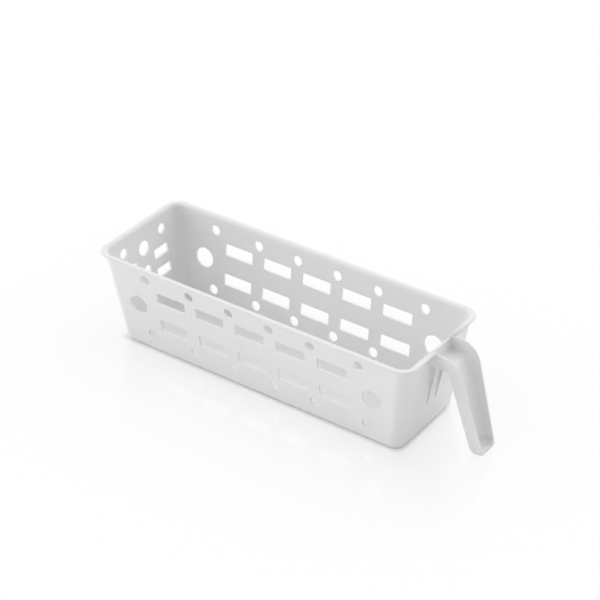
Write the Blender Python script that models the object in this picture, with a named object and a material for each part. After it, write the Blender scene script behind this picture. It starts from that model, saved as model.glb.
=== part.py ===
"""Handled caddy: a long open tub with perforated walls, a rolled rim and a channel handle at one end.

Metres, +Z up. The origin is the middle of the tub's underside, and the handle is at +X.
The real thing is one moulding, so each solid here is one named region of it, and a hairline
gap parts neighbouring regions.
"""

import math

import bmesh
import bpy

# Tub, measured on the outside of its walls
TUB_LENGTH = 0.3013
TUB_WIDTH = 0.0995
TUB_HEIGHT = 0.0861
WALL = 0.0018
SIDE_DRAFT = math.radians(6.35)
END_DRAFT = math.radians(7.9)
RIM_CORNER_RADIUS = 0.0103
BASE_CORNER_RADIUS = 0.0091
BASE_EDGE_RADIUS = 0.0038

# Rim: the wall rolls outward into a lip
LIP_REACH = 0.0037
LIP_THICKNESS = 0.0018
LIP_DROP = 0.0043
LIP_ROLL = 0.0030

# Top of the end wall between the handle's flanges, which has no lip
HANDLE_END_BELOW_RIM = 0.0024
HANDLE_END_ROUND = 0.0012

# Perforation of the two long walls, measured from the rim, the base and the tub's ends
COLUMN_PITCH = 0.0400
LEAST_SLOT_MARGIN = 0.0080
SLOT_LENGTH = 0.0286
SLOT_HEIGHT = 0.0108
UPPER_SLOT_BELOW_RIM = 0.0269
LOWER_SLOT_LEVEL = 0.0311
SMALL_HOLE = 0.0088
UPPER_HOLE_BELOW_RIM = 0.0127
LOWER_HOLE_LEVEL = 0.0170
ROW_END_FROM_END = 0.0454
LOWER_ROW_SHIFT = 0.0041
BIG_HOLE = 0.0180
BIG_HOLE_FROM_END = 0.0346
BIG_HOLE_RISE = 0.0011

# Perforation of the plain end wall, measured from the rim
END_SLOT_LENGTH = 0.0174
END_SLOT_HEIGHT = 0.0087
END_UPPER_SLOT_BELOW_RIM = 0.0332
END_LOWER_SLOT_BELOW_RIM = 0.0513
END_HOLE_PAST_SLOT = 0.0050
END_HOLE_BELOW_RIM = 0.0143
END_LOW_HOLE_BELOW_RIM = 0.0421
END_BIG_HOLE = 0.0130
END_BIG_HOLE_BELOW_RIM = 0.0211

# Handle: a channel, open away from the tub, with its web on the tub's side
HANDLE_TOP_BELOW_RIM = 0.0016
HANDLE_ROOT_DEPTH = 0.0131
HANDLE_REACH = 0.0225
GRIP_DEPTH = 0.0112
GRIP_LEAN = math.radians(15.6)
TIP_TILT = math.radians(9.0)
TIP_LEVEL = 0.0001
HANDLE_TOP_WIDTH = 0.0304
HANDLE_TIP_WIDTH = 0.0184
FLANGE_THICKNESS = 0.0013
WEB_THICKNESS = 0.0013
OUTER_BEND_RADIUS = 0.0200
INNER_BEND_RADIUS = 0.0040
TIP_INNER_RADIUS = 0.0060
TIP_OUTER_RADIUS = 0.0009

# Gussets that stiffen the handle's root
GUSSET_LENGTH = 0.0430
GUSSET_DEPTH = 0.0034
GUSSET_TIP_DEPTH = 0.0006
GUSSET_THICKNESS = 0.0015
GUSSET_TOP_SPREAD = 0.0070
GUSSET_TIP_SPREAD = 0.0060

# Clearance between neighbouring regions, and how far a cutter passes through a wall
GAP = 0.0003
CUT_OVERRUN = 0.0040

CORNER_STEPS = 8
EDGE_STEPS = 5
BEND_STEPS = 10
SMALL_HOLE_SIDES = 20
BIG_HOLE_SIDES = 28
SMOOTH_ANGLE = math.radians(35)
QUARTER_TURN = math.pi / 2

PLASTIC = (0.80, 0.80, 0.80, 1.0)
PLASTIC_ROUGHNESS = 0.42

# Levels at which the walls meet the floor pan and the rim, and the level of the handle's top
PAN_TOP = BASE_EDGE_RADIUS
RIM_BOTTOM = TUB_HEIGHT - LIP_DROP
HANDLE_TOP = TUB_HEIGHT - HANDLE_TOP_BELOW_RIM


def clear_scene():
    for obj in list(bpy.data.objects):
        bpy.data.objects.remove(obj, do_unlink=True)


def plastic(name):
    """Each region's own copy of the pale satin plastic."""
    material = bpy.data.materials.new(name + "_plastic")
    material.use_nodes = True
    shader = material.node_tree.nodes["Principled BSDF"]
    shader.inputs["Base Color"].default_value = PLASTIC
    shader.inputs["Roughness"].default_value = PLASTIC_ROUGHNESS
    shader.inputs["Metallic"].default_value = 0.0
    material.diffuse_color = PLASTIC
    return material


def mesh_object(name, points, faces):
    """A closed mesh with its faces turned outward, shaded smooth across its round stretches."""
    mesh = bpy.data.meshes.new(name)
    mesh.from_pydata(points, [], faces)
    work = bmesh.new()
    work.from_mesh(mesh)
    bmesh.ops.recalc_face_normals(work, faces=work.faces)
    work.to_mesh(mesh)
    work.free()
    mesh.shade_smooth()
    mesh.set_sharp_from_angle(angle=SMOOTH_ANGLE)
    obj = bpy.data.objects.new(name, mesh)
    bpy.context.scene.collection.objects.link(obj)
    return obj


def region(name, points, faces):
    obj = mesh_object(name, points, faces)
    obj.data.materials.append(plastic(name))
    return obj


def wall_place(half_size, draft, z):
    """Distance from the middle to a wall's outer face at height z, with the edge round below."""
    at_floor = half_size - TUB_HEIGHT * math.tan(draft)
    centre = at_floor + BASE_EDGE_RADIUS * (math.tan(draft) - 1 / math.cos(draft))
    if z < BASE_EDGE_RADIUS * (1 - math.sin(draft)):
        return centre + math.sqrt(BASE_EDGE_RADIUS**2 - (BASE_EDGE_RADIUS - z) ** 2)
    return at_floor + z * math.tan(draft)


def inner_place(half_size, draft, z):
    """The same for the wall's inner face, above the floor's upper face."""
    at_floor = half_size - TUB_HEIGHT * math.tan(draft)
    centre = at_floor + BASE_EDGE_RADIUS * (math.tan(draft) - 1 / math.cos(draft))
    radius = BASE_EDGE_RADIUS - WALL
    if z < BASE_EDGE_RADIUS - radius * math.sin(draft):
        return centre + math.sqrt(max(radius**2 - (BASE_EDGE_RADIUS - z) ** 2, 0))
    return at_floor + z * math.tan(draft) - WALL / math.cos(draft)


def outer_section(z):
    """Half length, half width and corner radius of the tub's outer face at height z."""
    radius = BASE_CORNER_RADIUS + (RIM_CORNER_RADIUS - BASE_CORNER_RADIUS) * z / TUB_HEIGHT
    half_length = wall_place(TUB_LENGTH / 2, END_DRAFT, z)
    half_width = wall_place(TUB_WIDTH / 2, SIDE_DRAFT, z)
    straight = wall_place(TUB_WIDTH / 2, SIDE_DRAFT, PAN_TOP) - (PAN_TOP - z) * math.tan(SIDE_DRAFT)
    return half_length, half_width, radius - max(straight - half_width, 0)


def inner_section(z):
    """The same for the inner face."""
    radius = BASE_CORNER_RADIUS + (RIM_CORNER_RADIUS - BASE_CORNER_RADIUS) * z / TUB_HEIGHT - WALL
    half_length = inner_place(TUB_LENGTH / 2, END_DRAFT, z)
    half_width = inner_place(TUB_WIDTH / 2, SIDE_DRAFT, z)
    straight = inner_place(TUB_WIDTH / 2, SIDE_DRAFT, PAN_TOP) - (PAN_TOP - z) * math.tan(SIDE_DRAFT)
    return half_length, half_width, radius - max(straight - half_width, 0)


def corner_arc(section, sign_x, sign_y, z):
    """Points of one corner's quarter arc, from the end wall's side to the long wall's side."""
    half_length, half_width, radius = section
    points = []
    for step in range(CORNER_STEPS + 1):
        angle = QUARTER_TURN * step / CORNER_STEPS
        x = half_length - radius + radius * math.cos(angle)
        y = half_width - radius + radius * math.sin(angle)
        points.append((sign_x * x, sign_y * y, z))
    return points


def tub_loop(section, z):
    """All four corner arcs in turn, anticlockwise from the handle end's back corner."""
    loop = corner_arc(section, 1, 1, z)
    loop += reversed(corner_arc(section, -1, 1, z))
    loop += corner_arc(section, -1, -1, z)
    loop += reversed(corner_arc(section, 1, -1, z))
    return loop


def skin(loops, close_around, close_across):
    """Points and quads that join neighbouring loops of equal count."""
    count = len(loops[0])
    points = [point for loop in loops for point in loop]
    faces = []
    for row in range(len(loops) if close_across else len(loops) - 1):
        below = row * count
        above = (row + 1) % len(loops) * count
        for column in range(count if close_around else count - 1):
            beside = (column + 1) % count
            faces.append((below + column, below + beside, above + beside, above + column))
    return points, faces


def floor_pan():
    """The flat floor with its rounded edge, up to where the walls run straight."""
    loops = []
    for step in range(EDGE_STEPS + 1):
        z = BASE_EDGE_RADIUS * (1 - math.cos(QUARTER_TURN * step / EDGE_STEPS))
        loops.append(tub_loop(outer_section(z), z))
    for step in range(EDGE_STEPS + 1):
        turn = math.cos(QUARTER_TURN * (EDGE_STEPS - step) / EDGE_STEPS)
        z = BASE_EDGE_RADIUS - (BASE_EDGE_RADIUS - WALL) * turn
        loops.append(tub_loop(inner_section(z), z))
    points, faces = skin(loops, close_around=True, close_across=False)
    count = len(loops[0])
    faces.append(tuple(range(count)))
    faces.append(tuple(range(len(points) - count, len(points))))
    region("floor_pan", points, faces)


def plate(name, low_ring, high_ring):
    """A wall plate between two rings of points at its foot and its top."""
    points, faces = skin([low_ring, high_ring], close_around=True, close_across=False)
    count = len(low_ring)
    faces.append(tuple(range(count)))
    faces.append(tuple(range(count, 2 * count)))
    return region(name, points, faces)


def long_wall_ring(side, z):
    half_length, outer_y, radius = outer_section(z)
    inner_y = inner_section(z)[1]
    end_x = half_length - radius - GAP
    corners = ((-end_x, outer_y), (end_x, outer_y), (end_x, inner_y), (-end_x, inner_y))
    return [(x, side * y, z) for x, y in corners]


def end_wall_ring(side, z):
    outer_x, half_width, radius = outer_section(z)
    inner_x = inner_section(z)[0]
    end_y = half_width - radius - GAP
    corners = ((outer_x, -end_y), (outer_x, end_y), (inner_x, end_y), (inner_x, -end_y))
    return [(side * x, y, z) for x, y in corners]


def bar(outline, low, high, along):
    """Points and faces of a straight bar with this outline in Z and one level axis."""
    points = []
    for depth in (low, high):
        for place, z in outline:
            points.append((place, depth, z) if along == "Y" else (depth, place, z))
    count = len(outline)
    faces = [tuple(range(count)), tuple(range(count, 2 * count))]
    for index in range(count):
        beside = (index + 1) % count
        faces.append((index, beside, count + beside, count + index))
    return points, faces


def slot_outline(place, level, length, height):
    left = place - length / 2
    right = place + length / 2
    low = level - height / 2
    high = level + height / 2
    return [(left, low), (right, low), (right, high), (left, high)]


def round_outline(place, level, diameter, sides):
    outline = []
    for index in range(sides):
        angle = math.tau * index / sides
        outline.append((place + diameter / 2 * math.cos(angle), level + diameter / 2 * math.sin(angle)))
    return outline


def cut(wall, outlines, low, high, along):
    """Cuts a bar of each outline out of the wall, from low to high along the level axis."""
    points = []
    faces = []
    for outline in outlines:
        bar_points, bar_faces = bar(outline, low, high, along)
        faces += [tuple(len(points) + index for index in face) for face in bar_faces]
        points += bar_points
    cutter = mesh_object(wall.name + "_holes", points, faces)
    cutter.hide_render = True
    cutter.display_type = "WIRE"
    modifier = wall.modifiers.new("Holes", "BOOLEAN")
    modifier.operation = "DIFFERENCE"
    modifier.solver = "EXACT"
    modifier.object = cutter


def row_places(count):
    """Places of this many copies along a wall, centred, one pitch apart."""
    return [(index - (count - 1) / 2) * COLUMN_PITCH for index in range(count)]


def long_wall_outlines():
    """Two rows of slots, a row of small holes above and below them, and a big hole at each end."""
    big_place = TUB_LENGTH / 2 - BIG_HOLE_FROM_END
    row_end = TUB_LENGTH / 2 - ROW_END_FROM_END
    room = 2 * big_place - BIG_HOLE - 2 * LEAST_SLOT_MARGIN
    columns = 1 + int((room - SLOT_LENGTH) / COLUMN_PITCH)
    outlines = []
    for place in row_places(columns):
        for level in (TUB_HEIGHT - UPPER_SLOT_BELOW_RIM, LOWER_SLOT_LEVEL):
            outlines.append(slot_outline(place, level, SLOT_LENGTH, SLOT_HEIGHT))
    between_slots = row_places(columns - 1)
    upper_row = [-row_end] + between_slots + [row_end]
    lower_row = [-row_end] + between_slots + [row_end + LOWER_ROW_SHIFT]
    upper_level = TUB_HEIGHT - UPPER_HOLE_BELOW_RIM
    for row, level in ((upper_row, upper_level), (lower_row, LOWER_HOLE_LEVEL)):
        for place in row:
            outlines.append(round_outline(place, level, SMALL_HOLE, SMALL_HOLE_SIDES))
    for place in (-big_place, big_place):
        outlines.append(round_outline(place, TUB_HEIGHT / 2 + BIG_HOLE_RISE, BIG_HOLE, BIG_HOLE_SIDES))
    return outlines


def end_wall_outlines():
    """A pair of small holes over a big one, two pairs of slots, and a small hole between them.

    Each slot stands midway between the middle hole and the edge of the wall's plate.
    """
    big_level = TUB_HEIGHT - END_BIG_HOLE_BELOW_RIM
    low_level = TUB_HEIGHT - END_LOW_HOLE_BELOW_RIM
    _, half_width, radius = outer_section(low_level)
    slot_place = (SMALL_HOLE / 2 + half_width - radius - GAP) / 2
    outlines = [
        round_outline(0, big_level, END_BIG_HOLE, BIG_HOLE_SIDES),
        round_outline(0, low_level, SMALL_HOLE, SMALL_HOLE_SIDES),
    ]
    for side in (-1, 1):
        place = side * (slot_place + END_HOLE_PAST_SLOT)
        outlines.append(
            round_outline(place, TUB_HEIGHT - END_HOLE_BELOW_RIM, SMALL_HOLE, SMALL_HOLE_SIDES)
        )
        for below_rim in (END_UPPER_SLOT_BELOW_RIM, END_LOWER_SLOT_BELOW_RIM):
            outlines.append(
                slot_outline(side * slot_place, TUB_HEIGHT - below_rim, END_SLOT_LENGTH, END_SLOT_HEIGHT)
            )
    return outlines


def long_walls():
    low = PAN_TOP + GAP
    high = RIM_BOTTOM - GAP
    reach = TUB_WIDTH / 2 + CUT_OVERRUN
    inside = inner_section(low)[1] - CUT_OVERRUN
    for name, side in (("front_wall", -1), ("back_wall", 1)):
        wall = plate(name, long_wall_ring(side, low), long_wall_ring(side, high))
        ends = sorted((side * inside, side * reach))
        cut(wall, long_wall_outlines(), ends[0], ends[1], "Y")


def plain_end_wall():
    low = PAN_TOP + GAP
    high = RIM_BOTTOM - GAP
    wall = plate("plain_end_wall", end_wall_ring(-1, low), end_wall_ring(-1, high))
    reach = TUB_LENGTH / 2 + CUT_OVERRUN
    inside = inner_section(low)[0] - CUT_OVERRUN
    cut(wall, end_wall_outlines(), -reach, -inside, "X")


def handle_end_wall():
    """The unpierced end wall below the handle's end of the rim."""
    low = PAN_TOP + GAP
    high = RIM_BOTTOM - GAP
    plate("handle_end_wall", end_wall_ring(1, low), end_wall_ring(1, high))


def handle_end_rim():
    """The wall's top between the handle's flanges: lower than the rim, and round on the inside."""
    half_width = handle_half_width(TUB_HEIGHT)
    top = TUB_HEIGHT - HANDLE_END_BELOW_RIM
    round_start = top - HANDLE_END_ROUND
    centre_x = inner_section(round_start)[0] + HANDLE_END_ROUND
    outline = [
        (outer_section(top)[0], top),
        (outer_section(RIM_BOTTOM)[0], RIM_BOTTOM),
        (inner_section(RIM_BOTTOM)[0], RIM_BOTTOM),
    ]
    for step in range(EDGE_STEPS + 1):
        angle = QUARTER_TURN * step / EDGE_STEPS
        x = centre_x - HANDLE_END_ROUND * math.cos(angle)
        outline.append((x, round_start + HANDLE_END_ROUND * math.sin(angle)))
    upright_plate("handle_end_rim", outline, lambda z: -half_width, lambda z: half_width)


def corners():
    """A curved post at each corner, between the plates of the neighbouring walls."""
    low = PAN_TOP + GAP
    high = RIM_BOTTOM - GAP
    for name, sign_x, sign_y in (
        ("front_plain_corner", -1, -1),
        ("back_plain_corner", -1, 1),
        ("front_handle_corner", 1, -1),
        ("back_handle_corner", 1, 1),
    ):
        rings = []
        for z in (low, high):
            outside = corner_arc(outer_section(z), sign_x, sign_y, z)
            inside = corner_arc(inner_section(z), sign_x, sign_y, z)
            rings.append(outside + list(reversed(inside)))
        plate(name, rings[0], rings[1])


def rim_path(section, z, mouth):
    """The tub's outline from one side of the handle round to the other."""
    half_length = section[0]
    return [(half_length, mouth, z)] + tub_loop(section, z) + [(half_length, -mouth, z)]


def rim():
    """The rolled lip: up the wall's inner face, over the top and out, then curving back under."""
    mouth = handle_half_width(TUB_HEIGHT) + GAP
    at_top = outer_section(TUB_HEIGHT)
    inner_top = inner_section(TUB_HEIGHT - LIP_ROLL)
    paths = [rim_path(inner_section(RIM_BOTTOM), RIM_BOTTOM, mouth)]
    for step in range(EDGE_STEPS + 1):
        angle = QUARTER_TURN * step / EDGE_STEPS
        out = LIP_ROLL * (1 - math.cos(angle))
        section = tuple(size + out for size in inner_top)
        paths.append(rim_path(section, TUB_HEIGHT - LIP_ROLL * (1 - math.sin(angle)), mouth))
    edge = LIP_THICKNESS / 2
    for step in range(EDGE_STEPS + 1):
        angle = QUARTER_TURN - math.pi * step / EDGE_STEPS
        out = LIP_REACH - edge + edge * math.cos(angle)
        section = tuple(size + out for size in at_top)
        paths.append(rim_path(section, TUB_HEIGHT - edge + edge * math.sin(angle), mouth))
    foot = outer_section(RIM_BOTTOM)
    height = LIP_DROP - LIP_THICKNESS
    for step in range(1, EDGE_STEPS + 1):
        angle = QUARTER_TURN * step / EDGE_STEPS
        way_share = math.sin(angle)
        z = TUB_HEIGHT - LIP_THICKNESS - height * (1 - math.cos(angle))
        section = tuple(
            (top_size + LIP_REACH - edge) * (1 - way_share) + foot_size * way_share
            for top_size, foot_size in zip(at_top, foot)
        )
        paths.append(rim_path(section, z, mouth))
    points, faces = skin(paths, close_around=False, close_across=True)
    count = len(paths[0])
    faces.append(tuple(row * count for row in range(len(paths))))
    faces.append(tuple(row * count + count - 1 for row in range(len(paths))))
    region("rim", points, faces)


def handle_half_width(z):
    """Outside half width of the handle at height z: it narrows towards its tip."""
    height_share = z / TUB_HEIGHT
    return (HANDLE_TIP_WIDTH + (HANDLE_TOP_WIDTH - HANDLE_TIP_WIDTH) * height_share) / 2


def meeting(point_a, angle_a, point_b, angle_b):
    """Where two lines in the X-Z plane cross, each given by a point and a heading."""
    ax, az = math.cos(angle_a), math.sin(angle_a)
    bx, bz = math.cos(angle_b), math.sin(angle_b)
    across = ax * bz - az * bx
    along = ((point_b[0] - point_a[0]) * bz - (point_b[1] - point_a[1]) * bx) / across
    return point_a[0] + along * ax, point_a[1] + along * az


def moved(point, heading, distance):
    return point[0] + distance * math.cos(heading), point[1] + distance * math.sin(heading)


def rounded(corner_list):
    """An outline whose corners (x, z, radius) are replaced by tangent arcs."""
    outline = []
    for index, (x, z, radius) in enumerate(corner_list):
        if radius == 0:
            outline.append((x, z))
            continue
        before = corner_list[index - 1]
        after = corner_list[(index + 1) % len(corner_list)]
        heading_in = math.atan2(z - before[1], x - before[0])
        heading_out = math.atan2(after[1] - z, after[0] - x)
        turn = (heading_out - heading_in + math.pi) % math.tau - math.pi
        back = radius * math.tan(abs(turn) / 2)
        side = math.copysign(QUARTER_TURN, turn)
        centre_x = x - back * math.cos(heading_in) + radius * math.cos(heading_in + side)
        centre_z = z - back * math.sin(heading_in) + radius * math.sin(heading_in + side)
        for step in range(BEND_STEPS + 1):
            angle = heading_in - side + turn * step / BEND_STEPS
            outline.append((centre_x + radius * math.cos(angle), centre_z + radius * math.sin(angle)))
    return outline


def handle_corners(inset):
    """The handle's side outline as sharp corners, its web side and its tip moved in by inset."""
    down = -QUARTER_TURN + GRIP_LEAN
    inward = down - QUARTER_TURN
    outer_bend = (TUB_LENGTH / 2 + HANDLE_REACH, HANDLE_TOP)
    under = HANDLE_TOP - HANDLE_ROOT_DEPTH
    web_line = moved(outer_bend, inward, GRIP_DEPTH)
    tip_line = moved(meeting(web_line, down, (0, TIP_LEVEL), 0), QUARTER_TURN + TIP_TILT, inset)
    web_line = moved(web_line, inward, -inset)
    root = (outer_section(under + inset)[0] + GAP, under + inset)
    inner_bend = meeting(web_line, down, root, 0)
    inner_tip = meeting(web_line, down, tip_line, TIP_TILT)
    outer_tip = meeting(outer_bend, down, tip_line, TIP_TILT)
    return root, inner_bend, inner_tip, outer_tip, outer_bend


def flange_outline():
    root, inner_bend, inner_tip, outer_tip, outer_bend = handle_corners(0)
    return rounded(
        [
            (*root, 0),
            (*inner_bend, INNER_BEND_RADIUS),
            (*inner_tip, TIP_INNER_RADIUS),
            (*outer_tip, TIP_OUTER_RADIUS),
            (*outer_bend, OUTER_BEND_RADIUS),
            (outer_section(HANDLE_TOP)[0] + GAP, HANDLE_TOP, 0),
        ]
    )


def web_outline():
    """The strip that follows the handle's tub side and closes its tip."""
    root, inner_bend, inner_tip, outer_tip, _ = handle_corners(0)
    root_in, inner_bend_in, inner_tip_in, outer_tip_in, _ = handle_corners(WEB_THICKNESS)
    return rounded(
        [
            (*root, 0),
            (*inner_bend, INNER_BEND_RADIUS),
            (*inner_tip, TIP_INNER_RADIUS),
            (*outer_tip, TIP_OUTER_RADIUS),
            (*outer_tip_in, 0),
            (*inner_tip_in, TIP_INNER_RADIUS - WEB_THICKNESS),
            (*inner_bend_in, INNER_BEND_RADIUS + WEB_THICKNESS),
            (*root_in, 0),
        ]
    )


def upright_plate(name, outline, low_face, high_face):
    """A plate that stands in the X-Z plane, with its two faces at y = low_face(z) and high_face(z)."""
    count = len(outline)
    points = [(x, low_face(z), z) for x, z in outline]
    points += [(x, high_face(z), z) for x, z in outline]
    faces = [tuple(range(count)), tuple(range(count, 2 * count))]
    for index in range(count):
        beside = (index + 1) % count
        faces.append((index, beside, count + beside, count + index))
    return region(name, points, faces)


def handle():
    """Two flanges, and the web between them."""
    outline = flange_outline()

    def outside(z):
        return handle_half_width(z)

    def inside(z):
        return handle_half_width(z) - FLANGE_THICKNESS

    def web_side(z):
        return inside(z) - GAP

    upright_plate("handle_front_flange", outline, lambda z: -outside(z), lambda z: -inside(z))
    upright_plate("handle_back_flange", outline, inside, outside)
    upright_plate("handle_web", web_outline(), lambda z: -web_side(z), web_side)


def gussets():
    """Slim wedges under the handle's root, which die out down the end wall."""
    top = HANDLE_TOP - HANDLE_ROOT_DEPTH - GAP
    tip = top - GUSSET_LENGTH
    outline = [
        (outer_section(tip)[0] + GAP, tip),
        (outer_section(tip)[0] + GAP + GUSSET_TIP_DEPTH, tip),
        (outer_section(top)[0] + GAP + GUSSET_DEPTH, top),
        (outer_section(top)[0] + GAP, top),
    ]

    def spread(z):
        return GUSSET_TIP_SPREAD + (GUSSET_TOP_SPREAD - GUSSET_TIP_SPREAD) * (z - tip) / GUSSET_LENGTH

    for name, side in (("front_gusset", -1), ("back_gusset", 1)):
        upright_plate(
            name,
            outline,
            lambda z, side=side: side * spread(z) - GUSSET_THICKNESS / 2,
            lambda z, side=side: side * spread(z) + GUSSET_THICKNESS / 2,
        )


def main():
    clear_scene()
    floor_pan()
    long_walls()
    plain_end_wall()
    handle_end_wall()
    corners()
    rim()
    handle_end_rim()
    handle()
    gussets()


main()
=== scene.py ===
"""Handled caddy: a long perforated tub with a rolled rim and a drooping channel handle.

Metres, +Z up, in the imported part's own frame: the origin is the middle of the tub's underside.
"""

import math

import bmesh
import bpy
from mathutils import Matrix, Vector


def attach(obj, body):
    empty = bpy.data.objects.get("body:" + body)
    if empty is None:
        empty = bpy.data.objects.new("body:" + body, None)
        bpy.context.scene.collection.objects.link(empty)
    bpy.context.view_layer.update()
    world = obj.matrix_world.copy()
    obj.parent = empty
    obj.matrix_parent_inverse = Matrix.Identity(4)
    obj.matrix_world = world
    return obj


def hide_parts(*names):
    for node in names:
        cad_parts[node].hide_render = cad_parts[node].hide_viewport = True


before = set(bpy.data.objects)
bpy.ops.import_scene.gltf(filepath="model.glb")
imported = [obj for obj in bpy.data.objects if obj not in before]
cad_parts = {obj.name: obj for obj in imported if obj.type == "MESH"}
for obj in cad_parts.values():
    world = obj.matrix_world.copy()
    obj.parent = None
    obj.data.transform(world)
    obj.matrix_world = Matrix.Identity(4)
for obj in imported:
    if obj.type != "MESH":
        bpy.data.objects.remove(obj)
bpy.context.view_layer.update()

QUARTER_TURN = math.pi / 2

# Tub, measured on the outside of its walls
TUB_LENGTH = 0.3013
TUB_WIDTH = 0.0995
TUB_HEIGHT = 0.0861
WALL = 0.0018
SIDE_DRAFT = math.radians(6.35)
END_DRAFT = math.radians(7.9)
RIM_CORNER_RADIUS = 0.0103
BASE_CORNER_RADIUS = 0.0091
BASE_EDGE_RADIUS = 0.0038

# Rim: the wall rolls outward into a lip
LIP_REACH = 0.0036
LIP_THICKNESS = 0.0018
LIP_DROP = 0.0043
LIP_ROLL = 0.0030

# Top of the end wall between the handle's flanges, which has no lip
HANDLE_END_BELOW_RIM = 0.0024

# Perforation of the two long walls
COLUMN_PITCH = 0.0400
SLOT_COLUMNS = 5
SLOT_LENGTH = 0.0286
SLOT_HEIGHT = 0.0108
UPPER_SLOT_LEVEL = 0.0592
LOWER_SLOT_LEVEL = 0.0311
SMALL_HOLE = 0.0088
UPPER_HOLE_LEVEL = 0.0734
LOWER_HOLE_LEVEL = 0.0170
ROW_END_PLACE = 0.1053
LOWER_ROW_SHIFT = 0.0041
BIG_HOLE = 0.0180
BIG_HOLE_PLACE = 0.1161
BIG_HOLE_LEVEL = 0.04415

# Perforation of the plain end wall
END_SLOT_LENGTH = 0.0174
END_SLOT_HEIGHT = 0.0087
END_SLOT_PLACE = 0.0198
END_UPPER_SLOT_LEVEL = 0.0529
END_LOWER_SLOT_LEVEL = 0.0348
END_HOLE_PLACE = 0.0248
END_HOLE_LEVEL = 0.0718
END_LOW_HOLE_LEVEL = 0.0440
END_BIG_HOLE = 0.0130
END_BIG_HOLE_LEVEL = 0.0650

# Handle: a channel, open away from the tub, with its web on the tub's side
HANDLE_TOP_BELOW_RIM = 0.0016
HANDLE_ROOT_DEPTH = 0.0131
HANDLE_REACH = 0.0225
GRIP_DEPTH = 0.0112
GRIP_LEAN = math.radians(15.6)
TIP_TILT = math.radians(9.0)
TIP_LEVEL = 0.0001
HANDLE_TOP_WIDTH = 0.0304
HANDLE_TIP_WIDTH = 0.0184
FLANGE_THICKNESS = 0.0013
WEB_THICKNESS = 0.0013
OUTER_BEND_RADIUS = 0.0200
INNER_BEND_RADIUS = 0.0040
TIP_INNER_RADIUS = 0.0060
TIP_OUTER_RADIUS = 0.0010

# Gussets under the handle's root
GUSSET_LENGTH = 0.0430
GUSSET_DEPTH = 0.0034
GUSSET_TIP_DEPTH = 0.0006
GUSSET_THICKNESS = 0.0015
GUSSET_TOP_SPREAD = 0.0070
GUSSET_TIP_SPREAD = 0.0060
GUSSET_TOP_FILLET = 0.0030

# Moulded edges: rounds and fillets, and how far one form runs into the next
HOLE_EDGE_ROUND = 0.00015
SLOT_CORNER_RADIUS = 0.0006
CHANNEL_FILLET = 0.0042
POCKET_CORNER = 0.0003
ROOT_FILLET = 0.0010
SOFT_EDGE = 0.0003
SHARP_ANGLE = math.radians(40)
ROUND_PROFILE_SHARE = 0.5
FLATS_WEIGHT = 100
SINK = 0.0006

# Fineness of the curves
CORNER_STEPS = 20
EDGE_STEPS = 8
ROUND_STEPS = 3
BEND_STEPS = 20
FILLET_STEPS = 8
POCKET_STEPS = 8
SLOT_CORNER_STEPS = 4
SMALL_HOLE_SIDES = 40
BIG_HOLE_SIDES = 56

# Levels of the lip's lower edge, of the end wall's top and of the handle's top
RIM_BOTTOM = TUB_HEIGHT - LIP_DROP
HANDLE_END_TOP = TUB_HEIGHT - HANDLE_END_BELOW_RIM
HANDLE_TOP = TUB_HEIGHT - HANDLE_TOP_BELOW_RIM

# Regions of the part that the handle and the gussets stand for. The tub stands for all others
HANDLE_NODES = ("handle_front_flange", "handle_back_flange", "handle_web")
GUSSET_NODES = ("front_gusset", "back_gusset")

# Plastic: its colour and its roughness each vary between two ends
PLASTIC_DARK = (0.825, 0.825, 0.825, 1.0)
PLASTIC_PALE = (0.855, 0.855, 0.855, 1.0)
LEAST_ROUGHNESS = 0.36
MOST_ROUGHNESS = 0.46
PLASTIC_IOR = 1.49

# Texture of the plastic: each noise's scale, detail and roughness
CLOUDS = (22.0, 3.0, 0.5)
WAVES = (70.0, 1.0, 0.4)
GRAIN = (900.0, 2.0, 0.6)

# Relief of the plastic: how strongly and how deep the waves and the grain press it
WAVE_RELIEF = (0.25, 0.0002)
GRAIN_RELIEF = (0.15, 0.00005)

# White of the studio's light, of its room and of its table
WHITE = (1.0, 1.0, 1.0, 1.0)

# Studio: each soft panel's azimuth, elevation, focus and strength
BACK_PANEL = (math.radians(90), math.radians(35), 4.0, 1.66)
BACK_RIGHT_PANEL = (math.radians(45), math.radians(30), 2.5, 0.44)
LEFT_PANEL = (math.radians(-160), math.radians(32), 4.5, 0.71)
LOW_FRONT_PANEL = (math.radians(-142), math.radians(-15), 1.7, 2.13)
HIGH_PANEL = (math.radians(0), math.radians(60), 3.0, 0.80)
PANELS = (BACK_PANEL, BACK_RIGHT_PANEL, LEFT_PANEL, LOW_FRONT_PANEL, HIGH_PANEL)

# Table, with the colour that it has in light and shadow
TABLE_HALF_SIZE = 4.0
PAPER = (0.98, 0.98, 0.98, 1.0)

# Shadow on the table: its share everywhere, and what the tub's foot adds, which soon dies out
SHADOW_SHARE = 0.07
CONTACT_SHARE = 0.93
CONTACT_REACH = 0.0016

# Mirroring in the table: its share at the tub's foot, how far it reaches, and how blurred it is
MIRROR_SHARE = 0.27
MIRROR_REACH = 0.050
MIRROR_ROUGHNESS = 0.08

# The photograph's camera, its sensor and its lens in millimetres
CAMERA_PLACE = (0.80199, -1.07305, 0.95515)
CAMERA_AZIMUTH = math.radians(36.2138)
CAMERA_ELEVATION = math.radians(33.5276)
CAMERA_ROLL = math.radians(-0.7932)
CAMERA_SENSOR = 36.0
CAMERA_LENS = 119.447
CAMERA_NEAREST = 0.01


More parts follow.
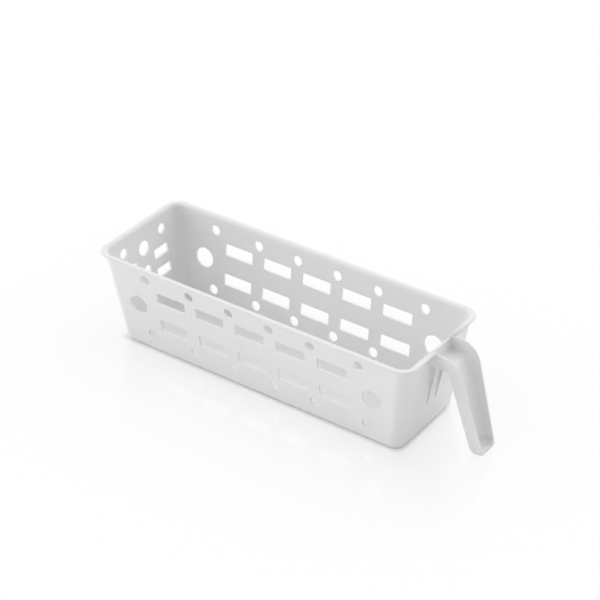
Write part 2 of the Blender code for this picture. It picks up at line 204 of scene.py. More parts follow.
def wall_place(half_size, draft, depth, z):
    """Distance from the middle to a wall's face at height z, depth inside its outer face."""
    at_floor = half_size - TUB_HEIGHT * math.tan(draft)
    centre = at_floor + BASE_EDGE_RADIUS * (math.tan(draft) - 1 / math.cos(draft))
    radius = BASE_EDGE_RADIUS - depth
    if z < BASE_EDGE_RADIUS - radius * math.sin(draft):
        return centre + math.sqrt(max(radius**2 - (BASE_EDGE_RADIUS - z) ** 2, 0))
    return at_floor + z * math.tan(draft) - depth / math.cos(draft)


def section(z, depth):
    """Half length, half width and corner radius of the tub at height z."""
    radius = BASE_CORNER_RADIUS + (RIM_CORNER_RADIUS - BASE_CORNER_RADIUS) * z / TUB_HEIGHT - depth
    half_length = wall_place(TUB_LENGTH / 2, END_DRAFT, depth, z)
    half_width = wall_place(TUB_WIDTH / 2, SIDE_DRAFT, depth, z)
    upright = wall_place(TUB_WIDTH / 2, SIDE_DRAFT, depth, BASE_EDGE_RADIUS)
    straight = upright - (BASE_EDGE_RADIUS - z) * math.tan(SIDE_DRAFT)
    return half_length, half_width, radius - max(straight - half_width, 0)


def handle_half_width(z):
    height_share = z / TUB_HEIGHT
    return (HANDLE_TIP_WIDTH + (HANDLE_TOP_WIDTH - HANDLE_TIP_WIDTH) * height_share) / 2


class Shell:
    """A closed mesh under construction, with the exact direction that each point faces."""

    def __init__(self):
        self.mesh = bmesh.new()
        self.facing = {}
        self.flat = set()

    def point(self, place, facing=None):
        vert = self.mesh.verts.new(place)
        if facing is not None:
            self.facing[vert] = Vector(facing).normalized()
        return vert

    def face(self, verts, flat=False):
        """A face on these points, leaving out the ones that coincide."""
        kept = [vert for index, vert in enumerate(verts) if vert is not verts[index - 1]]
        if len(kept) < 3:
            return
        face = self.mesh.faces.new(kept)
        if flat:
            self.flat.add(face)

    def bridge(self, low, high, skipped=()):
        """Quads between two loops of equal count, all the way round."""
        for index in range(len(low)):
            if index in skipped:
                continue
            beside = (index + 1) % len(low)
            self.face((low[index], low[beside], high[beside], high[index]))

    def edge(self, first, second):
        return self.mesh.edges.get((first, second)) or self.mesh.edges.new((first, second))

    def fill(self, outline, holes):
        """Flat faces inside an outline and outside its holes."""
        edges = []
        for loop in [outline] + holes:
            edges += [self.edge(loop[index - 1], loop[index]) for index in range(len(loop))]
        made = bmesh.ops.triangle_fill(self.mesh, edges=edges, use_beauty=True, use_dissolve=False)
        self.flat.update(item for item in made["geom"] if isinstance(item, bmesh.types.BMFace))

    def finish(self, name):
        """The mesh as an object, with each corner's direction set."""
        bmesh.ops.recalc_face_normals(self.mesh, faces=self.mesh.faces)
        self.mesh.normal_update()
        corners = []
        for face in self.mesh.faces:
            for vert in face.verts:
                flat = face in self.flat
                corners.append(face.normal.copy() if flat else self.facing.get(vert, vert.normal.copy()))
        data = bpy.data.meshes.new(name)
        self.mesh.to_mesh(data)
        self.mesh.free()
        data.shade_smooth()
        data.normals_split_custom_set(corners)
        obj = bpy.data.objects.new(name, data)
        bpy.context.scene.collection.objects.link(obj)
        return obj


def tub_plan(size):
    """Points round the tub's plan, anticlockwise, each with the direction that it faces."""
    half_length, half_width, radius = size
    plan = []
    for sign_x, sign_y in ((1, 1), (-1, 1), (-1, -1), (1, -1)):
        arc = []
        for step in range(CORNER_STEPS + 1):
            angle = QUARTER_TURN * step / CORNER_STEPS
            facing = (sign_x * math.cos(angle), sign_y * math.sin(angle))
            x = sign_x * (half_length - radius) + radius * facing[0]
            y = sign_y * (half_width - radius) + radius * facing[1]
            arc.append((x, y, facing))
        if sign_x * sign_y < 0:
            arc.reverse()
        plan += arc
    return plan


def tub_loop(shell, size, z, slope=None, notch=None):
    """A level round the tub. Slope turns a point's direction in plan into the way that it faces.

    The last four points are the sides of the handle's notch, where the rim has no lip.
    """
    mouth = handle_half_width(TUB_HEIGHT) - FLANGE_THICKNESS / 2
    notch = notch or (size[0], z)
    plan = tub_plan(size)
    loop = []
    for x, y, facing in plan:
        loop.append(shell.point((x, y, z), slope and slope(facing)))
    for side in (-1, 1):
        pair = [shell.point((size[0], side * mouth, z), slope and slope((1, 0)))]
        if notch == (size[0], z):
            pair.append(pair[0])
        else:
            pair.append(shell.point((notch[0], side * mouth, notch[1])))
        loop += pair if side < 0 else pair[::-1]
    return loop


def wall_slope(sign):
    """The direction that the drafted wall faces: outward and down, or inward and up."""

    def slope(facing):
        draft = END_DRAFT * facing[0] ** 2 + SIDE_DRAFT * facing[1] ** 2
        level = math.cos(draft)
        return sign * facing[0] * level, sign * facing[1] * level, -sign * math.sin(draft)

    return slope


def notch_profile():
    """The wall's top between the flanges: outer face, small round, flat top, then the inner round."""
    start = TUB_HEIGHT - LIP_ROLL
    inner_x = section(start, WALL)[0]
    inner_round = HANDLE_END_TOP - start
    outer_x = section(HANDLE_END_TOP, 0)[0]
    outer = []
    for step in range(1, EDGE_STEPS + 1):
        z = RIM_BOTTOM + (HANDLE_END_TOP - SOFT_EDGE - RIM_BOTTOM) * step / EDGE_STEPS
        outer.append((section(z, 0)[0], z))
    corner = []
    for step in range(1, EDGE_STEPS + 1):
        angle = QUARTER_TURN * step / EDGE_STEPS
        x = outer_x - SOFT_EDGE * (1 - math.cos(angle))
        corner.append((x, HANDLE_END_TOP - SOFT_EDGE * (1 - math.sin(angle))))
    roll = []
    for step in range(EDGE_STEPS):
        angle = QUARTER_TURN * (1 - step / (EDGE_STEPS - 1))
        x = inner_x + inner_round * (1 - math.cos(angle))
        roll.append((x, start + inner_round * math.sin(angle)))
    return outer, corner, roll


def widened(size, out):
    """A section's half length, half width and corner radius, moved out all round."""
    return tuple(part + out for part in size)


def lip_underside(shell, notches):
    """Levels that curve from the wall's outer face out under the lip."""
    foot = section(RIM_BOTTOM, 0)
    under_edge = widened(section(TUB_HEIGHT, 0), LIP_REACH - LIP_THICKNESS / 2)
    loops = []
    for step, notch in enumerate(notches, 1):
        angle = QUARTER_TURN * (1 - step / EDGE_STEPS)
        foot_share = math.sin(angle)
        size = tuple(
            high * (1 - foot_share) + low * foot_share for high, low in zip(under_edge, foot)
        )
        z = TUB_HEIGHT - LIP_THICKNESS - (LIP_DROP - LIP_THICKNESS) * (1 - math.cos(angle))
        loops.append(tub_loop(shell, size, z, notch=notch))
    return loops


def lip_edge(shell, notches):
    """Levels round the lip's edge, up to the rim's top."""
    radius = LIP_THICKNESS / 2
    middle = widened(section(TUB_HEIGHT, 0), LIP_REACH - radius)
    loops = []
    for step, notch in enumerate(notches, 1):
        angle = math.pi * step / EDGE_STEPS - QUARTER_TURN
        size = widened(middle, radius * math.cos(angle))
        z = TUB_HEIGHT - radius + radius * math.sin(angle)
        loops.append(tub_loop(shell, size, z, notch=notch))
    return loops


def inner_roll(shell, notches):
    """Levels from the rim's top round to the wall's inner face."""
    wall = section(TUB_HEIGHT - LIP_ROLL, WALL)
    loops = []
    for step, notch in enumerate(notches):
        angle = QUARTER_TURN * (1 - step / EDGE_STEPS)
        size = widened(wall, LIP_ROLL * (1 - math.cos(angle)))
        z = TUB_HEIGHT - LIP_ROLL * (1 - math.sin(angle))
        loops.append(tub_loop(shell, size, z, notch=notch))
    return loops


def rim_loops(shell):
    """Levels from under the lip, round its edge, over the top and down the inner roll."""
    outer, corner, roll = notch_profile()
    flat_middle = ((corner[-1][0] + roll[0][0]) / 2, HANDLE_END_TOP)
    loops = lip_underside(shell, outer)
    loops += lip_edge(shell, corner)
    loops += inner_roll(shell, [flat_middle] + roll[:-1] + [None])
    return loops


def hole_ring(outline, offset):
    """Points round a hole, with the outward direction at each: (place, level, across, up)."""
    place, level, length, height, radius, steps = outline
    is_round = length == height == 2 * radius
    radius += offset
    ring = []
    for sign_across, sign_up, turn in ((1, 1, 0), (-1, 1, 1), (-1, -1, 2), (1, -1, 3)):
        middle = place + sign_across * (length / 2 + offset - radius)
        mid_level = level + sign_up * (height / 2 + offset - radius)
        for step in range(steps + 1):
            angle = QUARTER_TURN * (turn + step / steps)
            across, up = math.cos(angle), math.sin(angle)
            ring.append((middle + radius * across, mid_level + radius * up, across, up))
    if is_round:
        return [spot for index, spot in enumerate(ring) if index % (steps + 1)]
    return ring


def slot(place, level, length, height):
    return place, level, length, height, SLOT_CORNER_RADIUS, SLOT_CORNER_STEPS


def hole(place, level, diameter, sides):
    return place, level, diameter, diameter, diameter / 2, sides // 4


def long_wall_holes():
    """Slots in two rows, small holes above and below them, and a big hole at each end."""

    def row(count):
        return [(index - (count - 1) / 2) * COLUMN_PITCH for index in range(count)]

    holes = []
    for place in row(SLOT_COLUMNS):
        for level in (UPPER_SLOT_LEVEL, LOWER_SLOT_LEVEL):
            holes.append(slot(place, level, SLOT_LENGTH, SLOT_HEIGHT))
    upper_row = [-ROW_END_PLACE] + row(SLOT_COLUMNS - 1) + [ROW_END_PLACE]
    lower_row = [-ROW_END_PLACE] + row(SLOT_COLUMNS - 1) + [ROW_END_PLACE + LOWER_ROW_SHIFT]
    for places, level in ((upper_row, UPPER_HOLE_LEVEL), (lower_row, LOWER_HOLE_LEVEL)):
        for place in places:
            holes.append(hole(place, level, SMALL_HOLE, SMALL_HOLE_SIDES))
    for place in (-BIG_HOLE_PLACE, BIG_HOLE_PLACE):
        holes.append(hole(place, BIG_HOLE_LEVEL, BIG_HOLE, BIG_HOLE_SIDES))
    return holes


def end_wall_holes():
    """A larger hole over a small one, between two pairs of slots with a small hole above each."""
    holes = [
        hole(0, END_BIG_HOLE_LEVEL, END_BIG_HOLE, BIG_HOLE_SIDES),
        hole(0, END_LOW_HOLE_LEVEL, SMALL_HOLE, SMALL_HOLE_SIDES),
    ]
    for side in (-1, 1):
        holes.append(hole(side * END_HOLE_PLACE, END_HOLE_LEVEL, SMALL_HOLE, SMALL_HOLE_SIDES))
        for level in (END_UPPER_SLOT_LEVEL, END_LOWER_SLOT_LEVEL):
            holes.append(slot(side * END_SLOT_PLACE, level, END_SLOT_LENGTH, END_SLOT_HEIGHT))
    return holes


def pierce(shell, outlines, half_size, draft, spot):
    """Round-edged holes through a wall. Returns their rings on its outer and its inner face.

    Spot turns a place along the wall, a distance from the middle and a level into a point.
    """
    outer_rings = []
    inner_rings = []
    steps = range(ROUND_STEPS + 1)
    for outline in outlines:
        rings = []
        for depth, sign, order in ((0, 1, steps), (WALL, -1, reversed(steps))):
            for step in order:
                angle = QUARTER_TURN * step / ROUND_STEPS
                offset = HOLE_EDGE_ROUND * (1 - math.sin(angle))
                into = HOLE_EDGE_ROUND * (1 - math.cos(angle))
                ring = []
                for place, level, across, up in hole_ring(outline, offset):
                    out = wall_place(half_size, draft, depth, level) - sign * into
                    face_out = sign * math.cos(draft) * math.cos(angle)
                    face_up = -sign * math.sin(draft) * math.cos(angle) - up * math.sin(angle)
                    facing = spot(-across * math.sin(angle), face_out, face_up)
                    ring.append(shell.point(spot(place, out, level), facing))
                rings.append(ring)
        for low, high in zip(rings, rings[1:]):
            shell.bridge(low, high)
        outer_rings.append(rings[0])
        inner_rings.append(rings[-1])
    return outer_rings, inner_rings


def downward(facing):
    """What every point round the underside's edge faces."""
    return 0, 0, -1


def upward(facing):
    """What every point round the floor's edge faces."""
    return 0, 0, 1


def outer_loops(shell):
    """Levels from the underside round its edge and up the walls to the lip."""
    slopes = {0: downward, EDGE_STEPS: wall_slope(1)}
    loops = []
    for step in range(EDGE_STEPS + 1):
        z = BASE_EDGE_RADIUS * (1 - math.cos(QUARTER_TURN * step / EDGE_STEPS))
        loops.append(tub_loop(shell, section(z, 0), z, slopes.get(step)))
    loops.append(tub_loop(shell, section(RIM_BOTTOM, 0), RIM_BOTTOM, wall_slope(1)))
    return loops


def inner_loops(shell):
    """Levels from the rim down the walls' inner faces and round to the floor."""
    slopes = {0: wall_slope(-1), EDGE_STEPS: upward}
    radius = BASE_EDGE_RADIUS - WALL
    loops = [tub_loop(shell, section(RIM_BOTTOM, WALL), RIM_BOTTOM, wall_slope(-1))]
    for step in range(EDGE_STEPS + 1):
        z = BASE_EDGE_RADIUS - radius * math.sin(QUARTER_TURN * step / EDGE_STEPS)
        loops.append(tub_loop(shell, section(z, WALL), z, slopes.get(step)))
    return loops


def tub():
    """Floor, walls, corners and rim as one closed moulding."""
    shell = Shell()
    outer = outer_loops(shell)
    rim = rim_loops(shell)
    loops = outer + rim + inner_loops(shell)

    # Where each wall's flat plate starts in a loop, and which gaps between loops are the walls
    arc = CORNER_STEPS + 1
    plates = {"back": arc - 1, "plain": 2 * arc - 1, "front": 3 * arc - 1}
    handle_end = 4 * arc - 1
    flats = [*plates.values(), *range(handle_end, len(loops[0]))]
    outer_wall = len(outer) - 2
    inner_wall = len(outer) + len(rim)
    for index, (low, high) in enumerate(zip(loops, loops[1:])):
        shell.bridge(low, high, flats if index in (outer_wall, inner_wall) else ())
    shell.face(loops[0], flat=True)
    shell.face(loops[-1], flat=True)
    for index in (outer_wall, inner_wall):
        low, high = loops[index], loops[index + 1]
        lower = low[handle_end:] + [low[0]]
        upper = high[handle_end:] + [high[0]]
        shell.face(lower + upper[::-1], flat=True)

    def plate(index, start):
        low, high = loops[index], loops[index + 1]
        return [low[start], low[start + 1], high[start + 1], high[start]]

    walls = (
        ("front", long_wall_holes(), TUB_WIDTH / 2, SIDE_DRAFT, lambda u, out, z: (u, -out, z)),
        ("back", long_wall_holes(), TUB_WIDTH / 2, SIDE_DRAFT, lambda u, out, z: (u, out, z)),
        ("plain", end_wall_holes(), TUB_LENGTH / 2, END_DRAFT, lambda u, out, z: (-out, u, z)),
    )
    for name, outlines, half_size, draft, spot in walls:
        outer_rings, inner_rings = pierce(shell, outlines, half_size, draft, spot)
        shell.fill(plate(outer_wall, plates[name]), outer_rings)
        shell.fill(plate(inner_wall, plates[name]), inner_rings)
    return shell.finish("caddy_tub")


def meeting(point_a, angle_a, point_b, angle_b):
    """Where two lines in the X-Z plane cross, each given by a point and a heading."""
    ax, az = math.cos(angle_a), math.sin(angle_a)
    bx, bz = math.cos(angle_b), math.sin(angle_b)
    across = ax * bz - az * bx
    along = ((point_b[0] - point_a[0]) * bz - (point_b[1] - point_a[1]) * bx) / across
    return point_a[0] + along * ax, point_a[1] + along * az


def moved(point, heading, distance):
    return point[0] + distance * math.cos(heading), point[1] + distance * math.sin(heading)


def arc_at(before, corner, after, radius):
    """The tangent arc that rounds a corner of an outline, each point with its heading."""
    heading_in = math.atan2(corner[1] - before[1], corner[0] - before[0])
    heading_out = math.atan2(after[1] - corner[1], after[0] - corner[0])
    turn = (heading_out - heading_in + math.pi) % math.tau - math.pi
    side = math.copysign(QUARTER_TURN, turn)
    start = moved(corner, heading_in, -radius * math.tan(abs(turn) / 2))
    centre = moved(start, heading_in + side, radius)
    arc = []
    for step in range(BEND_STEPS + 1):
        heading = heading_in + turn * step / BEND_STEPS
        arc.append((*moved(centre, heading - side, radius), heading))
    return arc


def handle_corners(inset):
    """The handle's side outline as sharp corners, its web side and its tip moved in by inset."""
    down = -QUARTER_TURN + GRIP_LEAN
    inward = down - QUARTER_TURN
    outer_bend = (TUB_LENGTH / 2 + HANDLE_REACH, HANDLE_TOP)
    under = HANDLE_TOP - HANDLE_ROOT_DEPTH
    web_line = moved(outer_bend, inward, GRIP_DEPTH)
    tip_line = moved(meeting(web_line, down, (0, TIP_LEVEL), 0), QUARTER_TURN + TIP_TILT, inset)
    web_line = moved(web_line, inward, -inset)
    root = (section(under + inset, 0)[0] - SINK, under + inset)
    inner_bend = meeting(web_line, down, root, 0)
    inner_tip = meeting(web_line, down, tip_line, TIP_TILT)
    outer_tip = meeting(outer_bend, down, tip_line, TIP_TILT)
    return root, inner_bend, inner_tip, outer_tip, outer_bend


def web_outside():
    """The web's tub side in the X-Z plane, from the end wall round to the tip's open edge."""
    root, inner_bend, inner_tip, outer_tip, outer_bend = handle_corners(0)
    chain = [root]
    chain += arc_at(root, inner_bend, inner_tip, INNER_BEND_RADIUS)
    chain += arc_at(inner_bend, inner_tip, outer_tip, TIP_INNER_RADIUS)
    chain += arc_at(inner_tip, outer_tip, outer_bend, TIP_OUTER_RADIUS)
    return chain


def open_side():
    """The flanges' open edge in the X-Z plane, from the tip up to the end wall."""
    outer_tip, outer_bend = handle_corners(0)[3:]
    outer_tip_in = handle_corners(WEB_THICKNESS)[3]
    root_top = (section(HANDLE_TOP, 0)[0] - SINK, HANDLE_TOP)
    return [outer_tip_in] + arc_at(outer_tip, outer_bend, root_top, OUTER_BEND_RADIUS) + [root_top]


def channel_stations():
    """The channel's inner line in the X-Z plane, each point with its heading and its fillet.

    It comes over the end wall's top, runs down the upright wall between the flanges, out along
    the web, round the bend and down to the tip. The fillet between web and flange grows from
    nearly nothing at the wall to its full size at the bend.
    """
    _, bend, tip, open_tip, _ = handle_corners(WEB_THICKNESS)
    top = HANDLE_END_TOP - SOFT_EDGE / 2
    buried = (section(top, 0)[0] - SINK, top)
    wall_top = (TUB_LENGTH / 2, top)
    wall_foot = (TUB_LENGTH / 2, bend[1])
    pocket = [(*buried, 0)]
    pocket += arc_at(buried, wall_top, wall_foot, SOFT_EDGE)
    pocket += arc_at(wall_top, wall_foot, bend, ROOT_FILLET)
    grip = arc_at(wall_foot, bend, tip, INNER_BEND_RADIUS + WEB_THICKNESS)
    grip += arc_at(bend, tip, open_tip, TIP_INNER_RADIUS - WEB_THICKNESS)
    grip.append((*open_tip, GRIP_LEAN))
    stations = [(*spot, POCKET_CORNER) for spot in pocket]
    for step in range(1, POCKET_STEPS):
        share = step / POCKET_STEPS
        x = pocket[-1][0] + (grip[0][0] - pocket[-1][0]) * share
        grown = share**2 * (3 - 2 * share)
        stations.append((x, bend[1], 0, POCKET_CORNER + (CHANNEL_FILLET - POCKET_CORNER) * grown))
    return stations + [(*spot, CHANNEL_FILLET) for spot in grip]


def channel_section(mesh, x, z, heading, fillet):
    """Points across the channel at one station, from the near flange over the web to the far one."""
    half = []
    for step in range(FILLET_STEPS + 1):
        angle = QUARTER_TURN * step / FILLET_STEPS
        spot_x, spot_z = moved((x, z), heading + QUARTER_TURN, fillet * (1 - math.sin(angle)))
        inside = handle_half_width(spot_z) - FLANGE_THICKNESS
        half.append((spot_x, inside - fillet * (1 - math.cos(angle)), spot_z))
    points = [(spot_x, -y, spot_z) for spot_x, y, spot_z in half] + half[::-1]
    return [mesh.verts.new(point) for point in points]


def sharp_edges(mesh):
    return [edge for edge in mesh.edges if edge.is_convex and edge.calc_face_angle(0) > SHARP_ANGLE]


def is_buried(edge):
    """Whether both its ends are sunk into the handle's end wall."""
    foot = section(0, 0)[0] - SINK / 2
    return all(vert.co.x < foot + math.tan(END_DRAFT) * vert.co.z for vert in edge.verts)


def soften(mesh, edges, width):
    """Rounds these edges of the mesh, the same width on each side."""
    bmesh.ops.bevel(
        mesh,
        geom=edges,
        offset=width,
        offset_type="OFFSET",
        segments=ROUND_STEPS,
        profile=ROUND_PROFILE_SHARE,
        affect="EDGES",
        clamp_overlap=True,
    )


def smooth_object(name, mesh):
    """The mesh as an object, shaded smooth, with its flats kept flat."""
    bmesh.ops.recalc_face_normals(mesh, faces=mesh.faces)
    data = bpy.data.meshes.new(name)
    mesh.to_mesh(data)
    mesh.free()
    data.shade_smooth()
    obj = bpy.data.objects.new(name, data)
    bpy.context.scene.collection.objects.link(obj)
    weighted = obj.modifiers.new("Flats", "WEIGHTED_NORMAL")
    weighted.mode = "FACE_AREA"
    weighted.weight = FLATS_WEIGHT
    return obj


def handle():
    """One channel: two flanges joined by a web that runs round the bend and closes the tip."""
    mesh = bmesh.new()
    sections = [channel_section(mesh, *station) for station in channel_stations()]
    for low, high in zip(sections, sections[1:]):
        for index in range(len(low) - 1):
            mesh.faces.new((low[index], low[index + 1], high[index + 1], high[index]))

    def chain(outline, side, depth):
        return [mesh.verts.new((x, side * (handle_half_width(z) - depth), z)) for x, z, *_ in outline]

    flanges = []
    for side, place in ((-1, 0), (1, -1)):
        web_out = chain(web_outside(), side, 0)
        open_out = chain(open_side(), side, 0)
        open_in = [sections[-1][place]] + chain(open_side()[1:], side, FLANGE_THICKNESS)
        mesh.faces.new(web_out + open_out)
        mesh.faces.new([part[place] for part in sections] + open_in[1:])
        for index in range(len(open_out) - 1):
            mesh.faces.new((open_out[index], open_out[index + 1], open_in[index + 1], open_in[index]))
        flanges.append((web_out, open_out, open_in))
    (near_web, near_out, near_in), (far_web, far_out, far_in) = flanges
    for index in range(len(near_web) - 1):
        mesh.faces.new((near_web[index], near_web[index + 1], far_web[index + 1], far_web[index]))
    mesh.faces.new([near_web[-1], far_web[-1], far_out[0]] + sections[-1][::-1] + [near_out[0]])
    near_root = [near_web[0], near_out[-1], near_in[-1]]
    far_root = [far_in[-1], far_out[-1], far_web[0]]
    mesh.faces.new(near_root + sections[0] + far_root)
    bmesh.ops.recalc_face_normals(mesh, faces=mesh.faces)
    soften(mesh, [edge for edge in sharp_edges(mesh) if not is_buried(edge)], SOFT_EDGE)
    return smooth_object("caddy_handle", mesh)


def gussets():
    """Slim wedges under the handle's root, which die out down the end wall."""
    top = HANDLE_TOP - HANDLE_ROOT_DEPTH
    tip = top - GUSSET_LENGTH
    tip_front = (section(tip, 0)[0] + GUSSET_TIP_DEPTH, tip)
    top_front = (section(top, 0)[0] + GUSSET_DEPTH, top)
    fillet = arc_at(tip_front, top_front, (TUB_LENGTH, top), GUSSET_TOP_FILLET)
    outline = [(section(tip, 0)[0] - SINK, tip), tip_front]
    outline += [(x, z) for x, z, _ in fillet]
    outline.append((fillet[-1][0], top + SINK))
    outline.append((section(top, 0)[0] - SINK, top + SINK))
    widening = (GUSSET_TOP_SPREAD - GUSSET_TIP_SPREAD) / GUSSET_LENGTH
    mesh = bmesh.new()
    for side in (-1, 1):
        faces = []
        for face_side in (-1, 1):
            verts = []
            for x, z in outline:
                middle = side * (GUSSET_TIP_SPREAD + widening * (z - tip))
                verts.append(mesh.verts.new((x, middle + face_side * GUSSET_THICKNESS / 2, z)))
            faces.append(verts)
            mesh.faces.new(verts)
        for index in range(len(outline)):
            beside = (index + 1) % len(outline)
            mesh.faces.new((faces[0][index], faces[0][beside], faces[1][beside], faces[1][index]))
    bmesh.ops.recalc_face_normals(mesh, faces=mesh.faces)
    soften(mesh, sharp_edges(mesh), SOFT_EDGE / 2)
    return smooth_object("caddy_gussets", mesh)


def node(tree, kind, **values):
    """A new node with these values on its inputs."""
    made = tree.nodes.new(kind)
    for name, value in values.items():
        made.inputs[name.replace("_", " ")].default_value = value
    return made


def noise(tree, place, scale, detail, roughness):
    """A noise, fixed to the piece that it is on."""
    made = node(tree, "ShaderNodeTexNoise", Scale=scale, Detail=detail, Roughness=roughness)
    tree.links.new(place, made.inputs["Vector"])
    return made.outputs["Fac"]


def ranged(tree, source, low, high):
    """A noise value turned into a range of its own."""
    spread = node(tree, "ShaderNodeMapRange", To_Min=low, To_Max=high)
    tree.links.new(source, spread.inputs["Value"])
    return spread.outputs["Result"]


def relief(tree, height, strength, depth):
    """A surface pressed up and down by a noise."""
    made = node(tree, "ShaderNodeBump", Strength=strength, Distance=depth)
    tree.links.new(height, made.inputs["Height"])
    return made


def satin_plastic():
    """Pale satin moulding: faint flow clouds, soft waves, fine grain, and slightly uneven gloss."""
    material = bpy.data.materials.new("satin_plastic")
    material.use_nodes = True
    tree = material.node_tree
    shader = tree.nodes["Principled BSDF"]
    shader.inputs["IOR"].default_value = PLASTIC_IOR
    place = node(tree, "ShaderNodeTexCoord").outputs["Object"]
    clouds = noise(tree, place, *CLOUDS)
    tint = node(tree, "ShaderNodeMix")
    tint.data_type = "RGBA"
    tint.inputs["A"].default_value = PLASTIC_DARK
    tint.inputs["B"].default_value = PLASTIC_PALE
    tree.links.new(clouds, tint.inputs["Factor"])
    tree.links.new(tint.outputs["Result"], shader.inputs["Base Color"])
    uneven = ranged(tree, clouds, LEAST_ROUGHNESS, MOST_ROUGHNESS)
    tree.links.new(uneven, shader.inputs["Roughness"])
    fine = relief(tree, noise(tree, place, *GRAIN), *GRAIN_RELIEF)
    soft = relief(tree, noise(tree, place, *WAVES), *WAVE_RELIEF)
    tree.links.new(fine.outputs["Normal"], soft.inputs["Normal"])
    tree.links.new(soft.outputs["Normal"], shader.inputs["Normal"])
    return material


def math_node(tree, operation, first, second=None):
    """One step of arithmetic on a socket and, where it takes two, a number."""
    made = tree.nodes.new("ShaderNodeMath")
    made.operation = operation
    tree.links.new(first, made.inputs[0])
    if second is not None:
        made.inputs[1].default_value = second
    return made.outputs["Value"]


def vector_node(tree, operation, first, second=None):
    """One step of vector arithmetic on a socket and, where it takes two, a fixed vector."""
    made = tree.nodes.new("ShaderNodeVectorMath")
    made.operation = operation
    tree.links.new(first, made.inputs[0])
    if second is not None:
        made.inputs[1].default_value = second
    return made.outputs


def shader_mix(tree, share, first, second):
    """Two shaders mixed, a share of the second and the rest of the first."""
    made = tree.nodes.new("ShaderNodeMixShader")
    tree.links.new(share, made.inputs["Fac"])
    tree.links.new(first, made.inputs[1])
    tree.links.new(second, made.inputs[2])
    return made.outputs["Shader"]


def foot_distance(tree):
    """How far a spot of the table is from the tub's foot."""
    foot = (*section(BASE_EDGE_RADIUS, 0)[:2], 0)
    place = node(tree, "ShaderNodeTexCoord").outputs["Object"]
    apart = vector_node(tree, "ABSOLUTE", place)["Vector"]
    apart = vector_node(tree, "SUBTRACT", apart, foot)["Vector"]
    apart = vector_node(tree, "MAXIMUM", apart, (0, 0, 0))["Vector"]
    return vector_node(tree, "LENGTH", apart)["Value"]


def fading(tree, distance, share, reach):
    """A share that is full at the tub's foot and dies out with the distance."""
    falling = math_node(tree, "DIVIDE", distance, -reach)
    falling = math_node(tree, "EXPONENT", falling)
    return math_node(tree, "MULTIPLY", falling, share)


def white_table():
    """A white table that shows white, keeps a faint shadow and mirrors the caddy's foot."""
    material = bpy.data.materials.new("white_table")
    material.use_nodes = True
    tree = material.node_tree
    tree.nodes.remove(tree.nodes["Principled BSDF"])
    paper = node(tree, "ShaderNodeBsdfDiffuse", Color=PAPER).outputs["BSDF"]
    glow = node(tree, "ShaderNodeEmission", Color=WHITE, Strength=1.0).outputs["Emission"]
    mirror = node(tree, "ShaderNodeBsdfGlossy", Roughness=MIRROR_ROUGHNESS).outputs["BSDF"]
    distance = foot_distance(tree)
    mirrored = fading(tree, distance, MIRROR_SHARE, MIRROR_REACH)
    contact = fading(tree, distance, CONTACT_SHARE, CONTACT_REACH)
    shadowed = math_node(tree, "ADD", contact, SHADOW_SHARE)
    bright = shader_mix(tree, mirrored, glow, mirror)
    shown = shader_mix(tree, shadowed, bright, paper)
    seen = node(tree, "ShaderNodeLightPath").outputs["Is Camera Ray"]
    total = shader_mix(tree, seen, paper, shown)
    tree.links.new(total, tree.nodes["Material Output"].inputs["Surface"])
    return material


def floor():
    mesh = bmesh.new()
    size = TABLE_HALF_SIZE
    corners = ((-size, -size, 0), (size, -size, 0), (size, size, 0), (-size, size, 0))
    mesh.faces.new([mesh.verts.new(corner) for corner in corners])
    data = bpy.data.meshes.new("table_top")
    mesh.to_mesh(data)
    mesh.free()
    data.materials.append(white_table())
    obj = bpy.data.objects.new("table_top", data)
    bpy.context.scene.collection.objects.link(obj)


def soft_panel(tree, direction, azimuth, elevation, focus, strength):
    """A big soft panel of the studio, as a glow round one direction of the sky."""
    level = math.cos(elevation)
    towards = (level * math.cos(azimuth), level * math.sin(azimuth), math.sin(elevation))
    glow = vector_node(tree, "DOT_PRODUCT", direction, towards)["Value"]
    glow = math_node(tree, "MAXIMUM", glow, 0)
    glow = math_node(tree, "POWER", glow, focus)
    return math_node(tree, "MULTIPLY", glow, strength)


def added(tree, first, second):
    """The sum of two sockets."""
    total = tree.nodes.new("ShaderNodeMath")
    tree.links.new(first, total.inputs[0])
    tree.links.new(second, total.inputs[1])
    return total.outputs["Value"]


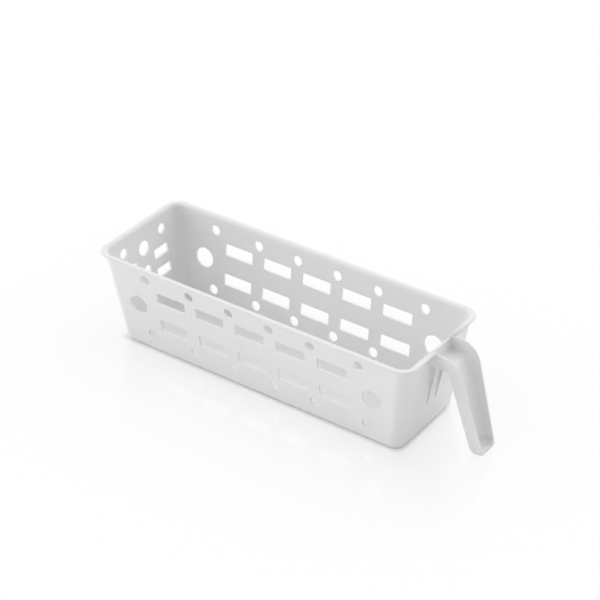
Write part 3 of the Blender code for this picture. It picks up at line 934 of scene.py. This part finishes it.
def studio():
    """Soft panels behind, at the left, above and low in front light the caddy. The room shows white."""
    world = bpy.data.worlds.new("studio")
    world.use_nodes = True
    tree = world.node_tree
    room = tree.nodes["Background"]
    room.inputs["Color"].default_value = WHITE
    direction = node(tree, "ShaderNodeTexCoord").outputs["Generated"]
    light = soft_panel(tree, direction, *PANELS[0])
    for panel in PANELS[1:]:
        light = added(tree, light, soft_panel(tree, direction, *panel))
    tree.links.new(light, room.inputs["Strength"])
    white = node(tree, "ShaderNodeBackground", Color=WHITE, Strength=1.0).outputs["Background"]
    path = node(tree, "ShaderNodeLightPath").outputs
    seen = added(tree, path["Is Camera Ray"], path["Is Glossy Ray"])
    seen = added(tree, seen, path["Is Transmission Ray"])
    total = shader_mix(tree, seen, room.outputs["Background"], white)
    tree.links.new(total, tree.nodes["World Output"].inputs["Surface"])
    bpy.context.scene.world = world


def camera():
    """The photograph's camera, from its place, the way it looks and its slight roll."""
    data = bpy.data.cameras.new("camera")
    data.sensor_width = CAMERA_SENSOR
    data.lens = CAMERA_LENS
    data.clip_start = CAMERA_NEAREST
    obj = bpy.data.objects.new("camera", data)
    right = Vector((math.cos(CAMERA_AZIMUTH), math.sin(CAMERA_AZIMUTH), 0))
    level = math.cos(CAMERA_ELEVATION)
    back = Vector((right.y * level, -right.x * level, math.sin(CAMERA_ELEVATION)))
    up = back.cross(right)
    turned_right = right * math.cos(CAMERA_ROLL) + up * math.sin(CAMERA_ROLL)
    turned_up = up * math.cos(CAMERA_ROLL) - right * math.sin(CAMERA_ROLL)
    turn = Matrix((turned_right, turned_up, back)).transposed().to_4x4()
    obj.matrix_world = Matrix.Translation(CAMERA_PLACE) @ turn
    bpy.context.scene.collection.objects.link(obj)
    bpy.context.scene.camera = obj


def main():
    plastic = satin_plastic()
    others = [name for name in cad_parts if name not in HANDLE_NODES + GUSSET_NODES]
    for piece, nodes in ((tub(), others), (handle(), HANDLE_NODES), (gussets(), GUSSET_NODES)):
        piece.data.materials.append(plastic)
        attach(piece, "root")
        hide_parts(*nodes)
    floor()
    studio()
    camera()
    bpy.context.scene.view_settings.view_transform = "Standard"


main()
